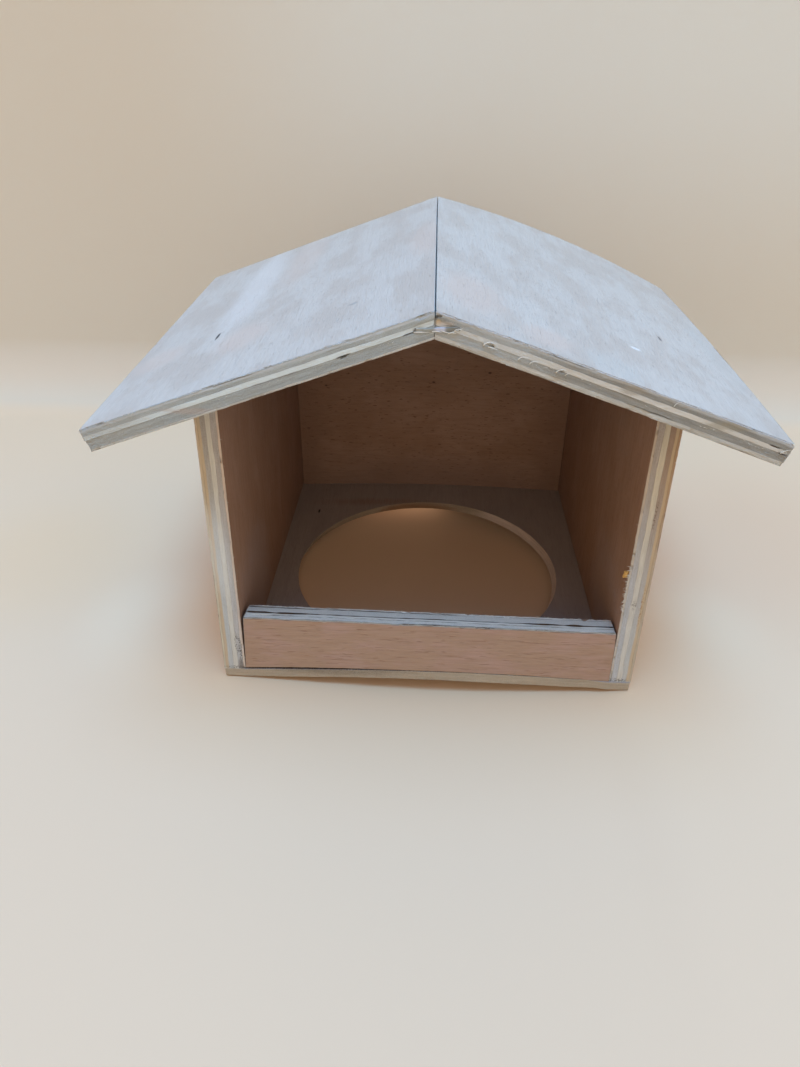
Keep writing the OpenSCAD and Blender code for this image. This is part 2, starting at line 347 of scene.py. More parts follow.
def woodFinish(name, **changes):
    # Veneer on the faces, and a sawn edge where the piece's onEdge field is 1
    look = {**plainWood, **changes}
    material, tree, shader = newMaterial(name)
    plain, along = grainSpace(tree, look["grain"], look["tilt"])
    skewed = grainSpace(tree, look["grain"], look["tilt"], look["fibreSkew"])[1]
    face, lines, fine, pores, fibres = veneerFace(tree, look, along, skewed)
    edge, saw, dots = sawnEdge(tree, look, plain)
    onEdge = add(tree, "Attribute", attribute_name="onEdge").outputs["Fac"]
    colour = addSpots(tree, look, plain, fine, blend(tree, onEdge, face, edge))
    # relief: grain, pores and fibres on the face, saw marks and pits on the edge
    high = sums(tree, "MULTIPLY_ADD", lines, -0.35, times(tree, fine, 0.8))
    high = sums(tree, "MULTIPLY_ADD", pores, -1, sums(tree, "MULTIPLY_ADD", fibres, 0.8, high))
    sawn = sums(tree, "MULTIPLY_ADD", saw, -0.9, times(tree, dots, -0.6))
    level = add(tree, "Mix", {0: onEdge, 2: high, 3: sawn}).outputs[0]
    rough = (look["rough"] - 0.07, look["rough"] + 0.1)
    coat(tree, shader, colour, fine, rough, level, look["relief"], 0.8)
    shader.inputs["Specular IOR Level"].default_value = 0.35
    return material


def loopRound(size, steps, endSides):
    # Once round the unit square: side 0 is the front, then right, back, left.
    # Gives the places, the distance walked in mm, the side and the end-grain flag
    places, walked, sides, start = [], [], [], 0
    corners = np.array([(0, 0), (1, 0), (1, 1), (0, 1), (0, 0)], float)
    for side in range(4):
        length = size[side % 2]
        count = max(int(length / steps[side]), 4)
        t = (np.arange(count) / count)[:, None]
        places.append(corners[side] + (corners[side + 1] - corners[side]) * t)
        walked.append(start + t[:, 0] * length)
        sides.append(np.full(count, side))
        start += length
    sides = np.concatenate(sides)
    return np.concatenate(places), np.concatenate(walked), sides, np.isin(sides, endSides).astype(float)


# how far in from the rim the rows of points on a ply's face lie
facing = {"hidden": (9, 1.2), "shown": (30, 18, 9, 4, 1.6, 0.6, 0.15)}


def slabRows(board, index, shown):
    # Rows from the middle of the lower face out to the rim, up the sawn edge and back
    # in: how far each is from the rim, its height in the board, and 1 on the edge
    low, high = board["levels"][index:index + 2]
    deepest = 0.42 * min(board["size"])
    face = {kind: sorted({min(inset, deepest) for inset in facing[kind]}) for kind in facing}
    under = [(inset, low, 0) for inset in face["shown" if shown == "low" else "hidden"][::-1]]
    over = [(inset, high, 0) for inset in face["shown" if shown == "high" else "hidden"]]
    heights = np.linspace(0, 1, 4 if high - low < 0.8 else 9)
    return np.array(under + [(0, low + (high - low) * h, 1) for h in heights] + over, float).T


def edgePush(board, index, walked, sides, depths, where):
    # How far the sawn edge stands out: waves, fuzz and saw steps, rounded outer arrises,
    # brittle outer veneer broken back here and there, and chips, which are flat ovals
    grit, levels, seed = board["grit"], board["levels"], board["seed"]
    along = where * (1, 0, 0)
    push = grit["wave"] * noise(where, (7, 2, 9), seed)
    push = push + grit["fuzz"] * noise(where, (0.7, 0.35, 9), seed + 1)
    push = push + grit["step"] * noise(where * (1, 0, 1), (14, 9, 1), seed + 2) - grit["sink"][index]
    rim = np.minimum(depths - levels[0], levels[-1] - depths)
    worn = smooth(1 - rim / grit["round"])[:, None] * grit["round"]
    push = push - worn * (0.45 + 0.35 * noise(along, (5, 1, 1), seed + 3))
    if index in grit["ragged"]:
        torn = noise(along, (2.2, 1, 1), seed + 4 + index)
        torn = torn + 0.5 * noise(along, (0.8, 1, 1), seed + 5 + index)
        push = push - grit["ragged"][index] * np.clip(torn - 0.35, 0, 1)
    for side, middle, level, width, tall, depth in board["chips"]:
        start = walked[np.argmax(sides == side)]
        oval = ((walked - start - middle) / width)[None, :] ** 2 + ((depths - level) / tall)[:, None] ** 2
        push = push - depth * np.exp(-(oval * 4) ** 2) * (sides == side)
    calm = np.ones(len(walked))
    for side, share in board["calm"].items():  # sides that meet another board
        calm = np.where(sides == side, share, calm)
    return np.minimum(push, grit["proud"]) * calm


def crackLift(board, index, walked, sides, insets, depths, where):
    # Cracks lift or lower the ply's own face near the rim, and darken their edge with painted shade
    lift = dark = np.zeros(where.shape[:2])
    for boundary, side, start, end, width, depth in board["cracks"]:
        if boundary in (index, index + 1):
            here = walked - walked[np.argmax(sides == side)]
            t = (here - start) / (end - start)
            shape = smooth(np.minimum(t, 1 - t) * 4) * (sides == side)
            shape = shape * np.clip(0.75 + 0.5 * noise(where[0] * (1, 0, 0), (3, 1, 1), 71), 0, 2)
            amount = 0.5 * width * shape[None, :] * np.exp(-insets / depth)[:, None]
            off = np.abs(depths - board["levels"][boundary])[:, None]
            # painted shade along the crack
            dark = np.maximum(dark, (off < 0.01) * smooth(shape * 2)[None, :] * min(1, 0.35 + width))
            lift = lift + amount * smooth(1 - off / 0.5) * (1 if boundary == index else -1)
    return lift, dark


def glueDrift(board, index, walked):
    # The glue lines wander: each border's own slow noise, shared by the two plies
    drift = [0 * walked, 0 * walked]
    for k in (0, 1):
        if 0 < index + k < len(board["levels"]) - 1:
            line = grid(walked, (index + k) * 5.3, 0)
            slow = 0.7 * noise(line, (11, 1, 1), board["seed"] + 30) + 0.4 * noise(line, (3, 1, 1), 31)
            drift[k] = slow * board["wander"]
    return drift


def plySlab(board, index, shown):
    # A closed shell: the first parameter walks once round the board, the second goes
    # from the middle of the lower face out to the rim, up the sawn edge and back in
    # to the middle of the upper face
    levels, place = board["levels"], board["place"]
    low, high = levels[index], levels[index + 1]
    endSides = (0, 2) if index % 2 else (1, 3)  # the fibres of every other ply run across
    flat, walked, sides, endGrain = loopRound(board["size"], board["steps"], endSides)
    size = np.array(board["size"])
    insets, depths, onEdge = slabRows(board, index, shown)
    # noise is read at (distance walked, height in the board, ply)
    where = grid(walked[None, :], depths[:, None], float(index) * 7.3)
    push = edgePush(board, index, walked, sides, depths, where) * onEdge[:, None]
    ring = 0.5 + (flat[None] - 0.5) * (1 - 2 * (insets[:, None] - push)[..., None] / size)
    lift, dark = crackLift(board, index, walked, sides, insets, depths, where)
    drift = glueDrift(board, index, walked)
    share = ((depths - low) / (high - low))[:, None]
    wide = depths[:, None] + lift + drift[0] * (1 - share) + drift[1] * share
    if shown:  # an outer face swells a little
        wave = board["swell"] * noise(np.dstack([ring * size, wide * 0]), (22, 30, 9), board["seed"] + 9)
        outer = levels[0] if shown == "low" else levels[-1]
        wide = wide + wave * smooth(1 - np.abs(depths - outer) / 0.5)[:, None] * smooth(insets / 4)[:, None]
    poles = [place(np.array(0.5), np.array(0.5), np.array(d)) for d in (low, high)]
    points = np.concatenate([place(ring[..., 0], ring[..., 1], wide).reshape(-1, 3), poles])
    quads, fans = shellFaces(len(depths), len(walked))
    flatShaded = np.repeat((onEdge[:-1] + onEdge[1:]) > 0, len(walked))
    run = grid(walked[None, :], depths[:, None], np.minimum(depths - low, high - depths)[:, None])
    fields = {
        "onEdge": np.append(np.repeat(onEdge, len(walked)), [0, 0]),
        "endGrain": np.append(np.tile(endGrain, len(depths)), [0, 0]),
        "run": np.concatenate([run.reshape(-1, 3), np.zeros((2, 3))]),
        "dark": np.append(dark, [0, 0]),
    }
    return points, quads, fans, np.append(~flatShaded, np.ones(len(fans), bool)), fields


def makeBoard(board, stem, plies, finishes):
    # Every ply of a board as its own piece
    shown = ("low", "", "", "", "high")
    for index, ply in enumerate(plies):
        name = stem + "_" + ply
        makePiece(name + "_ply", plySlab(board, index, shown[index]), finishes[index], (name,))
    print("board:", stem, "plies", len(plies))


roof = {
    "pitch": {-1: 19.9, 1: 19.4},  # degrees
    "slope": {-1: (85.2, 85.2), 1: (85, 86)},  # underside, front and back
    "levels": {-1: (0, 0.5, 2.9, 4, 5.5, 5.9), 1: (0, 1.2, 2.9, 4, 5.5, 5.9)},
    "top": 5.9,
    "gap": 0.3,  # open joint at the ridge
    "opens": (4.4, 1.3),  # height in the board where the joint starts to open, and over how much
    "frontWarp": 0.2, "backWarp": 2.8, "eaveWarp": 0.8, "backDrop": 1.3,
    "steps": (0.34, 0.8, 0.6, 0.5),  # point spacing: front, eave, back, ridge
    "seed": {-1: 20, 1: 40}, "round": {-1: 0.16, 1: 0.4},
    # chips: side, middle along it, height in the board, width, height of the chip, depth
    "chips": {
        -1: ((0, 20.5, 2.6, 1.3, 0.4, 0.8), (0, 2.6, 5.6, 2.4, 1, 0.4), (0, 0, 3.4, 12, 1.8, 0.35)),
        1: ((0, 12.4, 3, 1.6, 0.7, 0.8), (0, 0.6, 5.1, 0.9, 0.6, 0.8), (0, 0, 3.4, 11, 1.8, 0.35),
            (0, 29, 2.9, 1.3, 0.6, 0.5), (0, 85, 3.6, 2, 1.6, 0.6)),
    },
    # cracks: ply boundary, side, start and end in mm along it, width, how deep it runs
    "cracks": {
        -1: ((2, 0, 3.2, 7.4, 0.16, 4), (2, 0, 18.6, 22.6, 0.22, 4), (2, 0, 30, 44, 0.08, 3),
             (4, 0, 40, 52, 0.1, 3)),
        1: ((3, 0, 79.3, 82.8, 0.2, 3), (2, 0, 82.2, 85.6, 0.22, 4), (4, 0, 24, 36, 0.12, 3),
            (1, 0, 44, 58, 0.1, 3)),
    },
}
roofLow, roofHigh = limits("left_roof_under_veneer", "left_roof_top_veneer")
roofFront, roofDepth = roofLow[1], roofHigh[1] - roofLow[1]
ridgeUnder = limits("back_wall_core")[1][2]  # the roof's underside at the ridge


def roofPlace(side):
    pitch = math.radians(roof["pitch"][side])
    front, back = roof["slope"][side]
    start, over = roof["opens"]

    def place(a, b, w):
        # a runs from ridge to eave, b from front to back: a straight line between the
        # square-cut ends (the joint is closed low down), and on the right panel a
        # parabola on top of it that grows to the back
        slope = front + b * (back - front)
        joint = side * roof["gap"] / 2 * (0.1 + 0.8 * smooth((w - start) / over)) + 0 * a
        ridge = np.stack([joint, ridgeUnder - np.abs(joint) * math.tan(pitch) + w / math.cos(pitch)])
        eave = np.stack([side * (slope * math.cos(pitch) + w * math.sin(pitch)),
                         ridgeUnder - slope * math.sin(pitch) + w * math.cos(pitch)])
        x, z = ridge + a * (eave - ridge)
        if side > 0:
            z = z + 4 * a * (1 - a) * (roof["frontWarp"] + (roof["backWarp"] - roof["frontWarp"]) * b)
            z = z + 4 * b * (1 - b) * a * roof["eaveWarp"] - a * b * roof["backDrop"]
        return np.stack([x, roofFront + b * roofDepth + 0 * x, z], axis=-1)

    return place


def onRoof(side, along, back=0, rise=roof["top"]):
    # Row-frame place of a spot on a panel, `along` mm from the ridge, `back` mm from the front
    shares = along / roof["slope"][side][0], back / roofDepth, rise
    return tuple(float(v) for v in roofPlace(side)(*(np.array(s) for s in shares)))


def frontSpots(front, base, *table):
    # Spots on a front edge: x and height over the base, size across and up, and the rest
    return tuple(((x, front, base + z), (wide, 2, high), *rest) for x, z, wide, high, *rest in table)


def roofBoard(side):
    return {
        "place": roofPlace(side), "size": (roof["slope"][side][0], roofDepth), "levels": roof["levels"][side],
        "steps": roof["steps"], "seed": roof["seed"][side],
        "grit": {"wave": 0.05, "fuzz": 0.06, "step": 0.04, "sink": (0, 0.07, 0, 0.07, 0.02),
                 "round": roof["round"][side], "ragged": {4: 0.5, 0: 0.3}, "proud": 0.1},
        "swell": 0.12, "wander": 0.16, "calm": {3: 0.15},
        "chips": roof["chips"][side], "cracks": roof["cracks"][side],
    }


roofFace = {
    "grain": "y", "face": (213, 205, 196), "faceShade": (201, 191, 181), "patch": (202, 189, 177),
    "patchSize": 12, "patchLong": 2.2, "patchShare": 0.75, "pore": (150, 143, 138), "poreShare": 0.18,
    "lineLong": 11, "lineShare": 0.35, "fineShare": 0.24,
    "fibre": (227, 225, 222), "fibreShare": 0.4, "fibreSkew": 9, "glueShare": 0.12,
    "edgeShade": (170, 166, 158), "rough": 0.78,
}
roofUnder = {"face": (176, 146, 124), "faceShade": (158, 126, 104), "patch": (186, 158, 138),
             "edge": (226, 224, 216), "glueShare": 0.15}
pink, grey, blue = (206, 190, 178), (196, 192, 185), (218, 213, 208)
# round the staple: an ochre patch, a small dark hole and the shadow line over its crown
stapleMarks = frontSpots(
    roofFront, ridgeUnder, (0.75, 3.65, 0.75, 0.85, (222, 190, 140), 0.75),
    (2.4, 3.4, 2.2, 0.6, (206, 190, 180), 0.6), (0.3, 4.85, 0.5, 0.45, (52, 48, 44), 0.95),
    (3.6, 2.95, 2.2, 0.16, (92, 88, 82), 0.8), (-4.4, 1.8, 0.35, 0.4, (70, 68, 62), 0.9))
roofLooks = {
    -1: {
        "seed": 5, "band": (202, 210, 211), "core": (235, 247, 250),
        "rimTone": (210, 217, 224), "rimShare": 0.75, "rimBroad": 0.5,
        "endGrain": (208, 214, 218), "edge": (206, 216, 223),
        "faceSpots": (
            (onRoof(-1, 76.9, 39.4), (9, 11, 9), pink, 0.7), (onRoof(-1, 51.2, 33.3), (9, 13, 9), pink, 0.8),
            (onRoof(-1, 45, 108), (8, 40, 8), pink, 0.6), (onRoof(-1, 3, 73.7), (6, 24, 6), pink, 0.7),
            (onRoof(-1, 58.5, 92), (8, 60, 8), blue, 0.6),
            (onRoof(-1, 60.7, 43), (0.55, 3.6, 2), (56, 54, 52), 0.95),
            (onRoof(-1, 20.6, 28), (2, 1.2, 0.9), (160, 158, 154), 0.6)),
        "edgeSpots": (
            (onRoof(-1, 76, rise=1.7), (16, 2, 6), (174, 172, 164), 0.45),
            (onRoof(-1, 57, rise=1.4), (11, 2, 1), (184, 164, 152), 0.45)),
    },
    1: {
        "seed": 25, "band": (183, 181, 173), "core": (230, 226, 217),
        "rimTone": (220, 223, 226), "rimShare": 0.5, "rimBroad": 0.75,
        "endGrain": (208, 205, 197), "edge": (218, 223, 230),
        "faceSpots": (
            (onRoof(1, 9, 24), (10, 18, 10), pink, 0.8), (onRoof(1, 26.5, 10), (8, 8, 8), pink, 0.8),
            (onRoof(1, 42, 7), (9, 8, 9), grey, 0.6), (onRoof(1, 82, 60), (6, 40, 6), grey, 0.5),
            (onRoof(1, 62.6, 46.3), (0.5, 2.4, 1.6), (104, 100, 98), 0.8),
            (onRoof(1, 51.3, 27.2), (2.6, 1.2, 0.8), (238, 238, 236), 0.7)),
        "edgeSpots": (
            (onRoof(1, 12, rise=2.4), (20, 2, 9), (202, 210, 213), 0.4),
            (onRoof(1, 70, rise=4.9), (9, 2, 1.6), (158, 150, 130), 0.6),
            (onRoof(1, 46, rise=4.6), (4, 2, 1.4), (164, 154, 138), 0.6),
            (onRoof(1, 84, rise=2.9), (2.4, 2, 2), (140, 128, 112), 0.6, "specks")),
    },
}


def makeRoof(side, tag):
    look, tilt = roofLooks[side], -side * roof["pitch"][side]
    seed = look["seed"]
    sawn = {"spots": stapleMarks + look["edgeSpots"], "glueShare": 0.15}
    band = {**sawn, "grain": "y", "endGrain": look["band"]}
    rim = {"rim": (5.3, 4.75), "rimTone": look["rimTone"], "rimShare": look["rimShare"]}
    face = {**roofFace, "endGrain": look["endGrain"], "edge": look["edge"], "spots": look["faceSpots"]}
    finishes = (
        woodFinish(tag + " roof underside", tilt=tilt, seed=seed, **roofUnder),
        woodFinish(tag + " roof lower crossband", seed=seed + 1, edgeShade=(150, 148, 142),
                   broadShare=0.7, **band),
        woodFinish(tag + " roof core", tilt=tilt, seed=seed + 2, edge=look["core"], edgeShade=(200, 196, 188),
                   broadShare=0.3, sawShare=0.25, **sawn),
        woodFinish(tag + " roof upper crossband", seed=seed + 3, edgeShade=(140, 138, 130),
                   broadShare=look["rimBroad"], **rim, **band),
        woodFinish(tag + " roof face", tilt=tilt, seed=seed, **face),
    )
    plies = ("under_veneer", "lower_band", "core", "upper_band", "top_veneer")
    makeBoard(roofBoard(side), tag + "_roof", plies, finishes)


makeRoof(-1, "left")
makeRoof(1, "right")

wall = {
    "levels": (0, 0.7, 2.9, 4.3, 5.8, 6.4),  # from the outer face in
    "splay": 0.7,  # how far the feet stand out at the front
    # how far the tops stand to the right at the front, at the outer and the inner face
    "topShift": {-1: (0.62, 0.27), 1: (0.22, 0.22)},
    "seed": {-1: 60, 1: 80}, "lookSeed": {-1: 45, 1: 65},
    # sawn front edge of each ply, from the outer face in: colour at the foot, the tint it
    # takes on towards the roof, and the height where that starts; it is full at `tinted`.
    # These are in part painted light: the cool, pale crossbands low down stand for cool light
    # from above, and the warmer, darker tint for shade under the roof's overhang
    "edges": {
        -1: (((228, 221, 202), (251, 230, 210), 38), ((218, 227, 233), (227, 208, 190), 28),
             ((233, 235, 231), (255, 246, 232), 40), ((215, 219, 225), (236, 222, 208), 20),
             ((240, 229, 218), (249, 237, 225), 20)),
        1: (((212, 200, 180), (243, 212, 186), 12), ((218, 223, 226), (220, 184, 155), 12),
            ((231, 231, 226), (253, 242, 222), 12), ((214, 221, 230), (239, 219, 200), 12),
            ((226, 219, 209), (247, 235, 220), 20)),
    },
    "tinted": 92,
    "saw": {"sawShare": 0.25, "broadShare": 0.4, "glueShare": 0.35, "edgeShade": (150, 142, 132)},
    "soaked": {"rim": (1.35, 1.65), "rimTone": (206, 184, 150), "rimShare": 0.8},  # the outer crossband
    "face": {"face": (169, 136, 116), "faceShade": (148, 114, 95), "patch": (180, 149, 133), "lineLong": 9,
             "lineShare": 0.4, "fineShare": 0.28, "poreSize": (2.2, 0.3, 0.3), "poreShare": 0.4},
}
bodyLow, bodyHigh = limits("left_wall_outer_veneer", "right_wall_outer_veneer")
bodyDepth = bodyHigh[1] - bodyLow[1]
frontY, floorTop = bodyLow[1:]
# marks on the front edges, and a greyed patch low on the inner face; on the left, the
# first mark is painted cool light, a paler and bluer band at mid-height
greyed = ((3, 26, 24), (164, 150, 152), 0.5)
stainsAndLight = {
    -1: (
        # painted cool light: a paler, bluer band at mid-height on the left front edge
        *frontSpots(frontY, 0, (-57, 44, 3.4, 18, (240, 249, 255), 0.3)),
        ((-53.4, frontY + 22, 18), *greyed),
        *frontSpots(
            frontY, 0, (-59.9, 28, 0.5, 3.4, (120, 76, 36), 0.8, "specks"),
            (-60.1, 14, 0.5, 8, (196, 158, 96), 0.6), (-54.3, 10.5, 0.6, 6.5, (76, 68, 60), 0.95, "specks"),
            (-55.2, 12.5, 0.7, 5, (84, 76, 68), 0.85, "specks"), (-54.6, 3.6, 1, 4, (112, 104, 98), 0.7),
            (-56.6, 3.4, 3.6, 0.8, (90, 84, 76), 0.8, "specks"))),
    1: (
        ((53.7, frontY + 22, 18), *greyed),
        *frontSpots(
            frontY, 0, (58.2, 60, 0.5, 6, (96, 70, 46), 0.8, "specks"),
            (57.4, 31, 0.9, 2, (84, 74, 66), 0.8, "specks"),
            (59.6, 30, 0.5, 9, (150, 104, 60), 0.7, "specks"),
            (57, 3.4, 3.6, 0.8, (90, 84, 76), 0.8, "specks"))),
}


def underRoof(x):
    # Height of the roof's underside over x
    left, right = (math.tan(math.radians(roof["pitch"][s])) for s in (-1, 1))
    return ridgeUnder - np.abs(x) * np.where(x < 0, left, right)


def wallPlace(side):
    outer = bodyLow[0] if side < 0 else bodyHigh[0]
    first, last = wall["topShift"][side]

    def place(a, b, w):
        # a runs up and b from front to back; the top is cut to the roof's slope and
        # leans to the right at the front, where the foot stands out a little
        x = outer - side * w + (first + (last - first) * w / wall["levels"][-1]) * a * (1 - b)
        z = floorTop + a * (underRoof(x) - floorTop)
        x = x + side * wall["splay"] * (1 - a) * (1 - b)
        return np.stack([x, frontY + b * bodyDepth + 0 * x, z], axis=-1)

    return place


def makeWall(side, tag):
    names = ("outer face", "outer crossband", "core", "inner crossband", "inner face")
    finishes = []
    for index, (shade, tint, start) in enumerate(wall["edges"][side]):
        # the tint towards the roof is in part painted shade under its overhang
        look = {**wall["saw"], "edge": shade, "endGrain": shade, "climb": (start, wall["tinted"]),
                "climbTone": tint, "spots": stainsAndLight[side], "seed": wall["lookSeed"][side] + index}
        look.update(wall["soaked"] if index == 1 else wall["face"] if index in (0, 4) else {})
        finishes.append(woodFinish(f"{tag} wall {names[index]}", grain="zyzyz"[index], **look))
    board = {
        "place": wallPlace(side), "size": (underRoof(bodyLow[0]) - floorTop, bodyDepth),
        "levels": wall["levels"], "steps": (0.4, 1.2, 0.8, 1.2), "seed": wall["seed"][side],
        "grit": {"wave": 0.05, "fuzz": 0.05, "step": 0.04, "sink": (0, 0.06, 0, 0.06, 0),
                 "round": 0.2, "ragged": {0: 0.35, 4: 0.5}, "proud": 0.06},
        "swell": 0.08, "wander": 0.17, "calm": {1: 0.4, 3: 0.4}, "chips": (), "cracks": (),
    }
    plies = ("outer_veneer", "outer_band", "core", "inner_band", "inner_veneer")
    makeBoard(board, tag + "_wall", plies, finishes)


makeWall(-1, "left")
makeWall(1, "right")

backWood = {
    "face": (172, 139, 116), "faceShade": (148, 115, 93), "patch": (186, 154, 134), "patchSize": 20,
    "patchLong": 1.3, "patchShare": 0.7, "lineLong": 7, "lineShare": 0.3, "fineShare": 0.2,
    "pore": (100, 68, 50), "poreShare": 0.65, "poreSize": (2.6, 0.4, 0.4), "fibreShare": 0.3,
}
backInner = limits("back_wall_inner_veneer")[0][1]
# knots, then painted shade, soft and dark, in both corners and low down over the floor
knots = frontSpots(backInner, 0, *((x, z, wide, wide * 0.7, (40, 28, 20), 0.7) for x, z, wide in (
    (-41.4, 47, 0.7), (0.7, 49.3, 0.8), (22.2, 53.6, 0.8), (-49.2, 28.5, 0.9))))
# painted shade in both corners
corners = tuple(((x, backInner, 24), (18, 3, 60), (146, 116, 98), 0.55) for x in (-57, 57))
# painted shade low down, over the floor
lowShade = ((0, backInner, 0), (60, 3, 22), (150, 125, 113), 0.6)
backFinishes = (
    woodFinish("back wall inner face", seed=90, spots=(*knots, *corners, lowShade), **backWood),
    woodFinish("back wall crossband", grain="z", seed=91, face=(163, 156, 146), faceShade=(140, 132, 120)),
    woodFinish("back wall core", seed=92, face=(205, 196, 180), faceShade=(180, 170, 150)),
    woodFinish("back wall outer face", seed=93, **backWood),
)
backPlies = ("inner_veneer", 0), ("inner_band", 1), ("core", 2), ("outer_band", 1), ("outer_veneer", 3)
for name, index in backPlies:
    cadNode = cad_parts["back_wall_" + name]
    cadNode.data.materials.clear()
    cadNode.data.materials.append(backFinishes[index])
print("back wall finished")

floorLow, floorHigh = limits("floor_panel")
innerLeft = limits("left_wall_inner_veneer")[1][0]
innerRight = limits("right_wall_inner_veneer")[0][0]
floorThick = floorTop - floorLow[2]
bowRise = floorHigh[2] - floorTop
bowMiddle, bowHalf = (innerLeft + innerRight) / 2, (innerRight - innerLeft) / 2
bowRadius = (bowHalf**2 + bowRise**2) / (2 * bowRise)
# the front edge hangs: everywhere, its lower arris more, and most of all right of the middle
hang = {"all": 0.15, "lower": 0.3, "most": 0.3, "right": 22, "half": 40}


def bow(x, front=0, height=1):
    # Rise of the floor over x: an arc between the side walls, level under them, less
    # the hang of its front edge, a raised cosine across that is full at height 0
    off = np.minimum(np.abs(x - bowMiddle), bowHalf)
    arc = np.sqrt(bowRadius**2 - off**2) - bowRadius + bowRise
    swell = 0.5 + 0.5 * np.cos(np.pi * np.clip((x - bowMiddle - hang["right"]) / hang["half"], -1, 1))
    dip = hang["all"] + (hang["lower"] + hang["most"] * swell) * (1 - height)
    return arc - dip * smooth(arc / 0.7) * front


lip = {
    "levels": (0, 0.6, 2.1, 3.1, 5.7, 6.4),  # from the front face back
    "height": (19.4, 17.9),  # left and right, above the floor
    "open": (0.7, 0.55, 0.25),  # gap under the left end, what the left half closes, and the right third
    # the ends lean with the walls: what depth adds at the top and the foot takes off in
    # splays; how far the right end is out, and what its top and its depth take off
    "leftEnd": (0.1, 1.3), "rightEnd": (1.02, 0.5, 0.07), "endShare": 0.2,
    # chips and cracks as on the roof; the top edge is walked from right to left
    "chips": ((2, 7.3, 6.2, 1.8, 1.3, 0.9), (2, 60, 6, 1.2, 0.8, 0.4), (2, 30, 5.9, 1.8, 0.8, 0.5),
              (2, 22, 0.3, 0.8, 0.5, 0.4), (2, 36, 0.3, 1.6, 0.5, 0.5), (2, 39, 0.4, 0.7, 0.5, 0.4)),
    "cracks": ((3, 2, 83, 140, 0.75, 6), (3, 2, -50, 36, 0.95, 6), (3, 2, 16, 94, 0.25, 4),
               (4, 2, 40, 80, 0.3, 3), (4, 2, 72, 120, 0.35, 3), (1, 2, 30, 66, 0.2, 3)),
}
lipLow, lipHigh = limits("front_lip_core")
lipFront = limits("front_lip_face_veneer")[0][1]


def lipPlace(a, b, w):
    # a runs from left to right, b from the bowed foot up to the sloping top, both straight
    # lines between; smooth steps open the foot to the left and lean the ends
    x = lipLow[0] + a * (lipHigh[0] - lipLow[0])
    gap, leftHalf, rightThird = lip["open"]
    foot = floorTop + bow(x) + gap - leftHalf * smooth(a / 0.5) - rightThird * smooth((a - 0.7) / 0.3)
    top = floorTop + lip["height"][0] + a * (lip["height"][1] - lip["height"][0])
    end, (deep, low), (out, high, deepRight) = lip["endShare"], lip["leftEnd"], lip["rightEnd"]
    x = x + smooth(1 - a / end) * (deep * w * b - low * wall["splay"] * (1 - b))
    x = x + smooth((a - (1 - end)) / end) * (out - high * b**3 - deepRight * w * b)
    return np.stack([x + 0 * w, lipFront + w + 0 * x, foot + b * (top - foot) + 0 * w], axis=-1)


lipBoard = {
    "place": lipPlace, "size": (lipHigh[0] - lipLow[0], 18), "levels": lip["levels"],
    "steps": (0.6, 0.4, 0.34, 0.4), "seed": 100,
    "grit": {"wave": 0.07, "fuzz": 0.06, "step": 0.1, "sink": (0.05, 0.1, 0, 0.06, 0),
             "round": 0.1, "ragged": {4: 0.45, 0: 0.3}, "proud": 0},
    "swell": 0.06, "wander": 0.15, "calm": {0: 0.3, 1: 0.2, 3: 0.2},
    "chips": lip["chips"], "cracks": lip["cracks"],
}
lipEdge = {"sawShare": 0.2, "broadShare": 0.25, "edgeShade": (150, 150, 152), "glue": (84, 76, 68),
           "glueShare": 0.8, "glueWide": 0.24}
lipFace = {**lipEdge, "face": (181, 153, 133), "faceShade": (172, 142, 122), "patch": (186, 156, 144),
           "pore": (146, 112, 92), "poreShare": 0.7, "poreSize": (4.5, 0.32, 0.32), "lineLong": 11,
           "patchSize": 7, "patchShare": 0.8}
lipFinishes = (
    woodFinish("lip face", seed=110, edge=(216, 200, 180), **lipFace),
    woodFinish("lip front crossband", grain="z", seed=111, endGrain=(240, 239, 236), **lipEdge),
    woodFinish("lip core", seed=112, edge=(240, 239, 236), **lipEdge),
    woodFinish("lip back crossband", grain="z", seed=113, endGrain=(230, 230, 228), **lipEdge),
    woodFinish("lip back face", seed=114, edge=(246, 245, 242), **lipFace),
)
lipPlies = ("face_veneer", "face_band", "core", "back_band", "back_veneer")
makeBoard(lipBoard, "front_lip", lipPlies, lipFinishes)

floor = {
    "holeRadius": 45.25, "holeBack": 54.8,  # and how far the centre is behind the wall fronts
    "holeShift": 0.5,  # centre to the left of the body's middle
    "points": 900,
    "lean": 1.3,  # the hole was cut with a leaning blade: its lower rim sits to the left
    "push": (0.06, 0.06, 0.07, 0.05),  # waves, fuzz, how far it is all set back, rounded arrises
    "frontEnd": 54,  # x where the front edge steps back from flush with the lip
    "splayed": (50, 59, 60),  # the feet's splay: from x to x, and how deep
    "shares": (0, 0.012, 0.05, 0.15, 0.35, 0.6, 0.85, 0.95, 0.99, 1),  # rows, hole to outer edge
    "heights": (0, 0.15, 0.4, 0.7, 0.9, 1),  # rows up an edge
}


def floorOutline(way, centre):
    # Where each way out from the hole's middle meets the board's edge, on which side
    # (0 is the front, then right, back, left), and the distance walked round it
    low, high = floorLow[:2] - centre, floorHigh[:2] - centre
    with np.errstate(divide="ignore"):
        toSide = np.where(way > 0, high / way, low / way)
    toSide = np.where(np.isfinite(toSide), toSide, 1e9)
    outer = np.min(toSide, axis=1)[:, None] * way
    right, back = (way > 0).T
    side = np.where(toSide[:, 0] < toSide[:, 1], np.where(right, 1, 3), np.where(back, 2, 0))
    return outer, side, np.concatenate([[0], np.cumsum(np.hypot(*np.diff(outer, axis=0).T))])


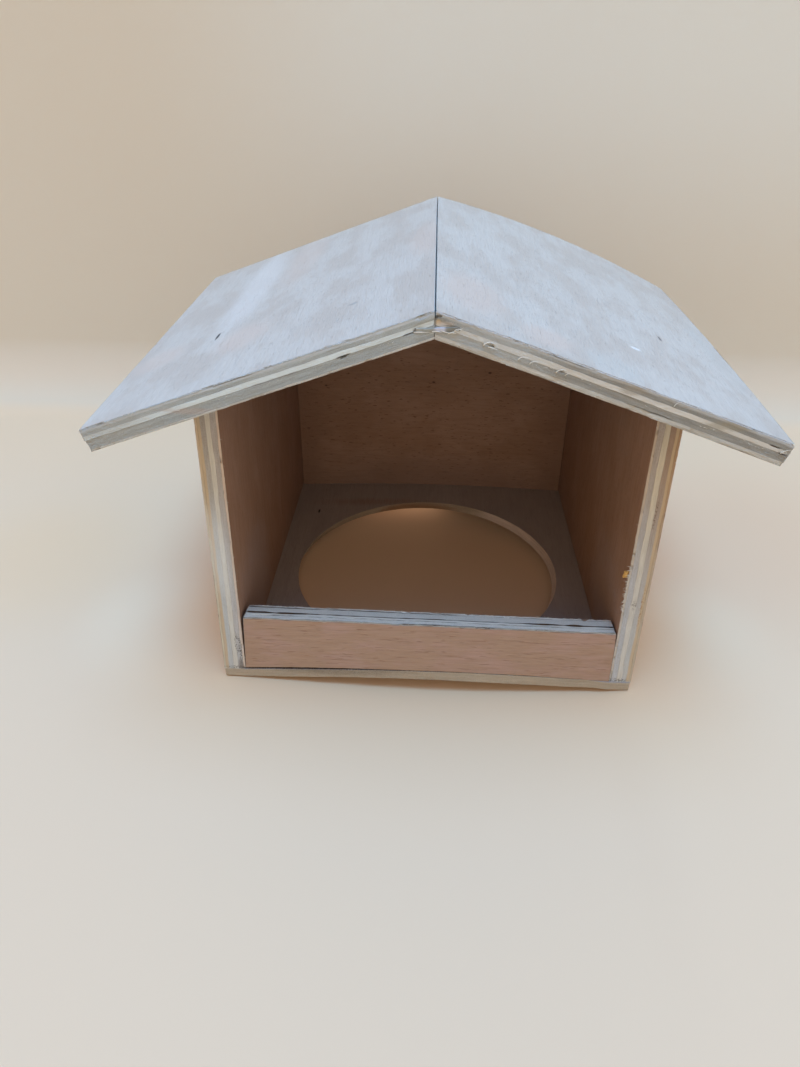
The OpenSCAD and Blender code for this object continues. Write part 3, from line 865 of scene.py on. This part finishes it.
def floorShell():
    # A ring-shaped shell: the first parameter turns once round the hole, the second
    # goes out along the underside, up the outer edge, in along the top and down the rim
    count, radius = floor["points"], floor["holeRadius"]
    angle = np.arange(count) / count * 2 * np.pi
    centre = np.array([bowMiddle - floor["holeShift"], frontY + floor["holeBack"]])
    way = np.stack([np.cos(angle), np.sin(angle)], 1)
    outer, side, walked = floorOutline(way, centre)
    shares, heights = floor["shares"], floor["heights"]
    rows = [(s, 0, 0) for s in shares] + [(1, h, 1) for h in heights]
    rows += [(s, 1, 0) for s in shares[::-1]] + [(0, h, 1) for h in heights[::-1]]
    share, height, onEdge = np.array(rows, float).T
    outside, up = share[:, None] > 0.5, height[:, None]
    where = grid(np.where(outside, walked, angle * radius + 900), up * floorThick, 0)
    wave, fuzz, back, arris = floor["push"]
    push = wave * noise(where, (6, 1.5, 1), 130) + fuzz * noise(where, (0.7, 0.4, 1), 131) - back
    rim = np.minimum(height, 1 - height) * floorThick
    push = push - (smooth(1 - rim / 0.2) * arris)[:, None]
    push = np.minimum(push, 0) * np.isin(share, (0, 1))[:, None]
    hole = way * radius
    flat = hole[None] + share[:, None, None] * (outer - hole)[None]
    flat = flat + np.where(outside, push, -push)[..., None] * way[None]
    x, y = centre[0] + flat[..., 0], centre[1] + flat[..., 1]
    lap = (frontY - floorLow[1] - 0.06) * (0.4 + 0.6 * smooth((floor["frontEnd"] - x) / 6))
    y = y + lap * smooth((floorLow[1] + 4 - y) / 3)
    x = x - floor["lean"] * (1 - up) * (1 - share[:, None]) ** 8
    first, last, deep = floor["splayed"]
    toFront = smooth((frontY + deep - y) / deep)
    splayed = wall["splay"] * 0.8 * smooth((np.abs(x) - first) / (last - first)) * toFront
    z = floorLow[2] + bow(x, toFront, up) + up * floorThick
    points = np.stack([x + splayed * np.sign(x), y, z], axis=-1).reshape(-1, 3)
    i = np.arange(count)
    j = (i + 1) % count
    ring = np.arange(len(rows))[:, None] * count
    following = np.roll(ring, -1)
    quads = grid(ring + i, ring + j, following + j, following + i).reshape(-1, 4)
    flatShaded = np.repeat((onEdge + np.roll(onEdge, -1)) > 0, count)
    run = grid(where[..., 0], where[..., 1], rim[:, None] + 0.2).reshape(-1, 3)
    # end grain shows on the front and back edges; on the rim its colour is used at the front,
    # and at the back from the left side to a little right of the middle; elsewhere the rim
    # takes the paler edge colour
    rounds = np.where(way[:, 1] > 0, 1 - smooth((way[:, 0] - 0.36) / 0.2), way[:, 1] < -0.7)
    endGrain = np.where(outside, np.isin(side, (0, 2)), rounds).astype(float)
    fields = {"onEdge": np.repeat(onEdge, count), "endGrain": endGrain.ravel(), "run": run}
    return points, quads, np.zeros((0, 3), int), ~flatShaded, fields


# a nick in the back left corner, painted shadow along the foot of the lip, and the ochre rim behind
floorMarks = (
    ((floorLow[0] + 16, floorHigh[1] - 29, floorTop), (0.5, 1.8, 2), (16, 14, 12), 1),
    # painted shadow: a dark band on the floor where it meets the lip
    ((-26, frontY + 1.4, floorTop + 1), (44, 1.8, 4), (62, 44, 34), 0.95),
    ((-14, frontY + floor["holeBack"] + floor["holeRadius"], floorTop - 1), (36, 5, 3), (150, 112, 78), 0.75),
)
floorFinish = woodFinish(
    "floor board", grain="y", seed=140, face=(176, 167, 165), faceShade=(164, 155, 152), lineLong=12,
    lineShare=0.35, fineShare=0.22, patchSize=18, patch=(186, 177, 175), spots=floorMarks,
    edge=(252, 234, 222), endGrain=(206, 192, 172), edgeShade=(160, 146, 126), glueShare=0)
makePiece("floor_board", floorShell(), floorFinish, ("floor_panel",))
print("floor finished")

staple = {
    "wide": 0.9, "thick": 0.5,  # flat wire
    "bend": 0.55,  # radius where the crown turns into a leg
    "tilt": 1.8,  # degrees
    "legs": 8, "points": (14, 7, 60),  # down a leg, round a bend and along the crown
    "sag": 0.05, "waves": (0.12, 0.06),  # of the crown, in and across its plane
    "sunk": 0.04, "lower": 0.2,  # how far it sits behind and below its CAD place
    "square": 0.45,  # power that turns the wire's round section into a rounded box
    "rough": (0.28, 0.5), "metal": 0.35, "relief": 0.03,
}
stapleLow, stapleHigh = limits("ridge_staple")
stapleMiddle = (stapleLow + stapleHigh) / 2


def carried(path, outline, upward):
    # An outline carried along a path, closed at both ends by a pole
    out = unitLong(np.cross(unitLong(np.gradient(path, axis=0)), upward))
    rings = path[:, None] + outline[None, :, :1] * out[:, None] + outline[None, :, 1:] * upward
    points = np.concatenate([rings.reshape(-1, 3), path[[0, -1]]])
    return points, *shellFaces(*rings.shape[:2])


def stapleShell():
    # Two legs, two quarter turns and a crown with a slight bow, in the plane of the wire;
    # the section is a superellipse: the cosine and sine to a power below one
    thick, bend, legs = staple["thick"], staple["bend"], staple["legs"]
    half = (stapleHigh[0] - stapleLow[0]) / 2 - thick / 2
    down, bent, along = staple["points"]
    leg = grid(-half, np.linspace(legs, bend, down))
    turn = np.linspace(np.pi, 1.5 * np.pi, bent + 2)[1:-1]
    corner = grid(-half + bend + bend * np.cos(turn), bend + bend * np.sin(turn))
    sag = staple["sag"] * np.sin(np.linspace(0, np.pi, along))
    crown = grid(np.linspace(-half + bend, half - bend, along), 0 - sag)
    flat = np.concatenate([leg, corner, crown, (corner * (-1, 1))[::-1], (leg * (-1, 1))[::-1]])
    slow, quick = staple["waves"]
    rise = slow * np.sin(flat[:, 0] / half * 2.4) + quick * np.cos(flat[:, 0] * 1.7)
    path = grid(flat[:, 0], flat[:, 1] + thick / 2, rise)
    level, fall = (f(math.radians(staple["tilt"])) for f in (math.cos, math.sin))
    path = path @ np.array([[level, 0, fall], [0, 1, 0], [-fall, 0, level]])
    middle = np.array([stapleMiddle[0], stapleLow[1] + staple["sunk"], stapleMiddle[2] - staple["lower"]])
    turns = np.linspace(0, 2 * np.pi, 21)[:-1]
    ways = np.stack([np.cos(turns), np.sin(turns)], 1)
    outline = np.sign(ways) * np.abs(ways) ** staple["square"] * (thick / 2, staple["wide"] / 2)
    return carried(path + middle, outline, np.array([0, 0, 1]))


def metalFinish():
    # Dull galvanised wire: cloudy grey zinc with drawn lines and a few dark specks, with
    # painted light: a painted highlight at the middle of the crown, painted shade to the right
    # of it and at the left end
    material, tree, shader = newMaterial("galvanised wire")
    plain, along = grainSpace(tree, "x")
    cloud = blotches(tree, plain, (2.2, 0.8, 0.8), 3, 0.6, 7, 0.35, 0.65)
    drawn = stretched(tree, along, (3, 0.08, 0.08), 2, 0.5, 9)
    dirt = blotches(tree, plain, (2.5, 1, 0.6), 3, 0.6, 12, 0.52, 0.66, 0.4)
    at = add(tree, "SeparateXYZ", {0: plain}).outputs[0]
    middle, end = stapleMiddle[0], stapleLow[0]
    bright = between(tree, at, middle - 1.2, middle), between(tree, at, middle + 2.4, middle + 1.2)
    colour = blend(tree, cloud, (146, 146, 138), (166, 167, 162))
    # painted highlight at the middle of the crown
    colour = blend(tree, times(tree, *bright), colour, (190, 194, 210))
    # painted shade to the right of the highlight
    colour = blend(tree, between(tree, at, middle + 1.2, middle + 2.2, 0, 0.7), colour, (112, 112, 106))
    # painted shade at the left end, where the wire turns into the wood
    colour = blend(tree, between(tree, at, end + 0.8, end + 0.2, 0, 0.8), colour, (66, 66, 60))
    colour = blend(tree, dirt, colour, (120, 118, 106))
    coat(tree, shader, colour, drawn, staple["rough"], drawn, staple["relief"], 0.5)
    shader.inputs["Metallic"].default_value = staple["metal"]
    return material


makePiece("ridge_staple_wire", stapleShell(), metalFinish(), ("ridge_staple",))
print("staple made")


def threads(starts, aims, lengths, radii, curls, seed, toward=None):
    # Many fine tapering fibres at once. Each path leaves its start along its aim and
    # turns through its curl on a circle's arc, towards a given side or a random one,
    # with a five-sided section that thins to a point
    count, rings, sides = len(starts), 9, 5
    luck = np.random.default_rng(seed)
    t = np.linspace(0, 1, rings)[None, :, None]
    aims = unitLong(aims)
    side = np.cross(aims, luck.normal(size=(count, 3)))
    if toward is not None:
        side = np.cross(np.cross(aims, toward), aims)
    side = unitLong(side)
    other = np.cross(aims, side)
    long, bend = lengths[:, None, None], curls[:, None, None]
    path = starts[:, None] + aims[:, None] * long * np.sin(t * bend) / bend
    path = path + side[:, None] * long * (1 - np.cos(t * bend)) / bend
    angle = (np.arange(sides) / sides * 2 * np.pi)[None, None, :, None]
    thin = (radii[:, None] * (1 - 0.85 * t[0, :, 0] ** 2)[None])[..., None, None]
    around = side[:, None, None] * np.cos(angle) + other[:, None, None] * np.sin(angle)
    points = (path[:, :, None] + thin * around).reshape(count, rings * sides, 3)
    points = np.concatenate([points, path[:, :1], path[:, -1:]], axis=1)
    first = (np.arange(count) * points.shape[1])[:, None, None]
    quads, fans = (first + faces for faces in shellFaces(rings, sides))
    return points.reshape(-1, 3), quads.reshape(-1, 4), fans.reshape(-1, 3)


splinterWood = woodFinish("torn fibres", seed=150, face=(246, 242, 232), faceShade=(228, 220, 204),
                          patch=(250, 247, 240))

# big curls on the front edge of the right panel: distance from the ridge, height in the
# board, length, radius, curl and lift
curls = np.array((
    (11, 2.3, 3.4, 0.15, 2.2, 0.5), (12.1, 2.4, 2.4, 0.12, 1.6, -0.3), (19.1, 2.1, 2.7, 0.14, 1.9, 0.3),
    (21.7, 2, 2.3, 0.13, 1.7, 0.3), (27.9, 2.2, 3, 0.14, 1.9, 0.4), (30, 2.3, 1.8, 0.11, 1.2, 0.2),
    (55.5, 4.3, 2.4, 0.09, 1.4, 1), (83, 2.9, 2.6, 0.14, 0.8, 0.2), (4.3, 3.1, 2.2, 0.12, 1.3, 0.1)))
pitch = math.radians(roof["pitch"][1])
downSlope = np.array([math.cos(pitch), 0, -math.sin(pitch)])
starts = np.array([onRoof(1, along, rise=rise) for along, rise in curls[:, :2]])
aims = downSlope * 0.3 + np.array([0, -0.35, 0.5]) + np.array([0, 0, 1]) * curls[:, 5:]
made = threads(starts, aims, *curls[:, 2:5].T, 3, downSlope)
makePiece("roof_edge_curls", made, splinterWood)

# a torn strip of pale fibre along the lower side of the staple: start, aim, length,
# radius and curl
strips = np.array((
    (-4.5, 1.5, 0.05, 4.3, 0.1, 0.2), (-0.6, 1.75, 0.08, 2.2, 0.12, 0.3), (1.3, 1.95, -0.3, 2, 0.11, 0.2),
    (2.8, 1.35, 0.25, 3.6, 0.13, 0.3), (3.6, 1.3, 0.1, 2.4, 0.09, 0.6)))
starts = grid(strips[:, 0], roofFront - 0.05, ridgeUnder + strips[:, 1])
made = threads(starts, grid(1, -0.04, strips[:, 2]), *strips[:, 3:].T, 8)
makePiece("staple_fibres", made, splinterWood)


def fuzzShell():
    # Short broken fibres along sawn edges, thicker where the saw tore the veneer
    luck = np.random.default_rng(17)
    groups = []

    def along(count, place, at, aim, length, spread):
        # `at` holds the place's three parameters; None is the one that runs over the edge
        t = luck.random(count)
        where = place(*(t if v is None else v(t) if callable(v) else v + 0 * t for v in at))
        aims = np.asarray(aim) + luck.normal(0, spread, (count, 3))
        groups.append((where, aims, luck.uniform(0.3, 1, count) * length))

    for side in (-1, 1):
        panel, wallAt = roofPlace(side), wallPlace(side)
        down = np.array([side * 0.94, -0.1, -0.33])
        along(90 if side < 0 else 200, panel, (None, 0, 5.75), down + (0, -0.3, 0.2), 0.9, 0.35)
        along(60, panel, (None, 0, lambda t: 2.9 + 0.6 * np.sin(t * 40)), down + (0, -0.4, 0), 0.8, 0.35)
        along(40, panel, (None, 0, 0.3), down + (0, -0.3, -0.2), 0.7, 0.35)
        along(50, panel, (1, None, 5.7), (side * 0.5, 0.8, 0.2), 0.8, 0.4)
        along(60, panel, (None, 1, 5.6), down + (0, 0.4, 0.2), 0.8, 0.4)
        along(70, wallAt, (None, 0, 6.3), (-side * 0.4, -0.4, 0.6), 0.8, 0.5)
        along(50, wallAt, (None, 0, 0.2), (side * 0.1, -0.3, 0.9), 0.7, 0.3)
        along(45, wallAt, (0.003, 0, lambda t: 6.2 * t), (0, -1, 0.1), 0.5, 0.5)
    along(170, lipPlace, (None, 1, 6.2), (0.7, 0.5, 0.25), 0.9, 0.6)
    along(60, lipPlace, (None, 1, 0.3), (0.9, -0.2, 0.15), 0.6, 0.3)
    starts, aims, lengths = (np.concatenate([g[k] for g in groups]) for k in range(3))
    count = len(starts)
    return threads(starts, aims, lengths, luck.uniform(0.02, 0.05, count), luck.uniform(0.3, 1.6, count), 5)


makePiece("edge_fuzz", fuzzShell(), splinterWood)

# coarser hairs where the saw left the right wall, low on its inner corner
luck, count = np.random.default_rng(23), 70
height = 0.3 + 0.17 * luck.random(count) ** 1.3
aims = np.array([-0.75, -0.5, 0]) + luck.normal(0, 0.4, (count, 3))
sizes = [luck.uniform(low, high, count) for low, high in ((0.5, 1.3), (0.05, 0.1), (0.3, 1.6))]
made = threads(wallPlace(1)(height, 0 * height, 6.3 + 0 * height), aims, *sizes, 11)
makePiece("wall_edge_hairs", made, splinterWood)

# the dab of dried glue on the right wall: radii, and where its middle is from the inner
# front corner at the floor
glue = {"radii": (0.75, 0.7, 1.25), "middle": (-0.25, 0.55, 38.4), "around": 36, "rings": 18, "seed": 4}


def lump(centre, radii, seed):
    # A lumpy bead: a ball's two angles, its radius swollen and pitted by noise
    turn = np.linspace(0, 2 * np.pi, glue["around"] + 1)[:-1]
    fall = np.linspace(0, np.pi, glue["rings"] + 2)[1:-1, None]
    ball = grid(np.sin(fall) * np.cos(turn), np.sin(fall) * np.sin(turn), np.cos(fall))
    ball = np.concatenate([ball.reshape(-1, 3), [[0, 0, 1], [0, 0, -1]]])
    swell = 1 + 0.35 * noise(ball, 0.7, seed) + 0.2 * noise(ball, 0.3, seed + 1)
    return centre + ball * swell[:, None] * np.asarray(radii), *shellFaces(glue["rings"], glue["around"])


glueFinish = woodFinish("dried glue", seed=160, face=(226, 180, 104), faceShade=(206, 152, 76),
                        patch=(234, 194, 124), rough=0.5)
bead = lump(np.array([innerRight, frontY, floorTop]) + glue["middle"], glue["radii"], glue["seed"])
makePiece("wall_glue_dab", bead, glueFinish)
print("splinters, fuzz and glue made")

sweep = {
    "wide": 1500, "front": -900, "bend": 125, "radius": 32, "lean": 2, "top": 700,
    # the paper sags between the box's corners: how far, where, and its fades
    "sag": 4.1, "sagMiddle": 6, "sagHalf": 82, "sagFront": (-200, 100), "sagBack": 45, "sagRight": (66, 16),
    "paper": (231, 203, 173), "shade": (229, 200, 169),
    # painted light: where the paper turns up it is paler and cooler, as the bend catches the cool light from
    # above
    "turned": (221, 202, 179),  # where it turns up, from height to height,
    "turnFrom": (0, 4), "wallFrom": (10, 34),
    # warmer patches to the sides, and paler ones beside the box that are painted light, thinning
    # the box's shade there: place, size, colour
    "patches": (((122, 30, 0), 95, (227, 192, 160)), ((-138, 5, 0), 60, (231, 199, 164)),
                ((-79, -30, 0), 42, (238, 214, 184)), ((76, -26, 0), 42, (234, 210, 180))),
    # painted light: the wall is the same paper as the floor, given its own colours, paler high up to the
    # right
    "wall": (218, 210, 195), "wallHigh": (225, 226, 220),  # and on the wall, low and high up to the right
    "paleAcross": (-150, 0), "paleUp": (45, 160),
}


def sweepShell():
    # Floor, quarter turn and leaning wall: one profile carried sideways, with a shallow
    # trough under the box, a raised cosine across that fades out to front and back
    bend, radius, top = sweep["bend"], sweep["radius"], sweep["top"]
    lean = math.radians(90 - sweep["lean"])
    turn = np.linspace(0, lean, 40)
    level = np.linspace(sweep["front"], bend, 90)[:-1]
    turned = grid(bend + radius * np.sin(turn), radius * (1 - np.cos(turn)))
    profile = np.concatenate([grid(level, 0), turned])
    rise = top - profile[-1, 1]
    profile = np.concatenate([profile, [[profile[-1, 0] + rise / math.tan(lean), top]]])
    across = np.sinh(np.linspace(-6, 6, 181)) / math.sinh(6) * sweep["wide"]
    points = grid(across[None, :], profile[:, :1], profile[:, 1:])
    off = np.clip((points[..., 0] - sweep["sagMiddle"]) / sweep["sagHalf"], -1, 1)
    (front, over), (right, within) = sweep["sagFront"], sweep["sagRight"]
    fade = smooth((points[..., 1] - front) / over) * smooth((bend - points[..., 1]) / sweep["sagBack"])
    fade = fade * smooth((right - points[..., 0]) / within)
    points[..., 2] -= sweep["sag"] * (0.5 + 0.5 * np.cos(np.pi * off)) * fade
    count = len(across)
    i = np.arange(len(profile) - 1)[:, None] * count + np.arange(count - 1)
    return points.reshape(-1, 3), grid(i, i + 1, i + count + 1, i + count)


def addSweep():
    points, quads = sweepShell()
    mesh = bpy.data.meshes.new("paper_sweep")
    mesh.from_pydata((points * unit).tolist(), [], quads.reshape(-1, 4).tolist())
    mesh.polygons.foreach_set("use_smooth", np.ones(len(mesh.polygons), bool))
    material, tree, shader = newMaterial("sweep paper")
    plain = grainSpace(tree, "x")[0]
    paper = blend(tree, stretched(tree, plain, (220, 220, 220), 2, 0.5, 2), sweep["paper"], sweep["shade"])
    # the paler patches beside the box are painted light
    for place, size, shade in sweep["patches"]:
        off = vectors(tree, "DISTANCE", plain, place)
        paper = blend(tree, between(tree, off, size * 0.15, size, 1, 0), paper, shade)
    x, _, z = add(tree, "SeparateXYZ", {0: plain}).outputs
    # painted light on the wall, paler high up to the right
    pale = times(tree, between(tree, x, *sweep["paleAcross"]), between(tree, z, *sweep["paleUp"]))
    upper = blend(tree, pale, sweep["wall"], sweep["wallHigh"])
    # painted light: the paler, cooler bend and the wall's own colours
    paper = blend(tree, between(tree, z, *sweep["turnFrom"]), paper, sweep["turned"])
    paper = blend(tree, between(tree, z, *sweep["wallFrom"]), paper, upper)
    tree.links.new(paper, shader.inputs["Base Color"])
    shader.inputs["Roughness"].default_value = 0.95
    shader.inputs["Specular IOR Level"].default_value = 0.1
    # seen from outside the sweep is clear, so the box can be viewed from any side
    outside = add(tree, "NewGeometry").outputs["Backfacing"]
    clear = add(tree, "BsdfTransparent").outputs[0]
    both = add(tree, "MixShader", {0: outside, 1: shader.outputs[0], 2: clear})
    tree.links.new(both.outputs[0], tree.nodes["Material Output"].inputs["Surface"])
    mesh.materials.append(material)
    stage = bpy.data.objects.new("paper_sweep", mesh)
    scene.collection.objects.link(stage)


light = {
    # soft glows in the room: direction, where the glow starts (cosine), colour and strength
    "glows": (
        ((0, 0, 1), 0.906, (1.56, 2.11, 3.48)),  # cool lamps overhead and a little to the front
        ((0, -0.208, 0.978), 0.94, (2, 6.42, 10.65)),
        ((0, -0.42, 0.906), 0.94, (0.9, 0.86, 1.18)),
        ((0, 0.208, 0.978), 0.94, (0.39, 1.35, 3.14)),
        ((-0.6, -0.2, 0.8), 0.7, (0, 0.17, 0.41)),
        ((0, -1, 0.1), 0.5, (1.07, 0.88, 0.7)),  # the warmer room in front and to the sides
        ((-1, 0, 0.35), 0.4, (0.95, 0.48, 0)),
        ((1, 0, 0.35), 0.4, (1.11, 0.86, 0.6)),
    ),
    "behind": (0.63, 0.58, 0.51), "dim": 0.9,  # what the camera sees past the paper
}


def addLight():
    # Each glow is strongest along its direction and fades smoothly away from it
    world = bpy.data.worlds.new("room")
    scene.world = world
    world.use_nodes = True
    tree = world.node_tree
    tree.nodes.clear()
    way = add(tree, "TexCoord").outputs["Generated"]
    total = (0, 0, 0, 1)
    for aim, start, colour in light["glows"]:
        near = vectors(tree, "DOT_PRODUCT", way, tuple(unitLong(np.array(aim))))
        total = blend(tree, between(tree, near, start, 1), total, blend(tree, 1, total, (*colour, 1), "ADD"))
    sky = add(tree, "Background", {"Color": total, "Strength": 1})
    seen = add(tree, "Background", {"Color": (*light["behind"], 1), "Strength": light["dim"]})
    ray = add(tree, "LightPath").outputs["Is Camera Ray"]
    both = add(tree, "MixShader", {0: ray, 1: sky.outputs[0], 2: seen.outputs[0]})
    tree.links.new(both.outputs[0], add(tree, "OutputWorld").inputs[0])


leak = {
    "wide": 60, "high": 3, "spread": 85,
    "place": (-26, -1, -0.6),  # from the bow's middle, the floor's back edge and its underside
    "down": 5,  # degrees
    "colour": (1, 0.73, 0.54), "watts": 0.0016,
}


def addLeak():
    # Daylight that slips in under the bowed back edge of the floor and glows in the hole
    lamp = bpy.data.lights.new("under_floor", "AREA")
    lamp.shape = "RECTANGLE"
    lamp.size = leak["wide"] * unit
    lamp.size_y = leak["high"] * unit
    lamp.spread = math.radians(leak["spread"])
    lamp.color = leak["colour"]
    lamp.energy = leak["watts"]
    made = bpy.data.objects.new("under_floor", lamp)
    middle = np.array([bowMiddle, floorHigh[1], floorLow[2]]) + leak["place"]
    turn = Matrix.Rotation(math.radians(-90 + leak["down"]), 4, "X")
    made.matrix_world = Matrix.Translation(middle * unit) @ turn
    scene.collection.objects.link(made)


addSweep()
addLight()
addLeak()
print("stage and light placed")
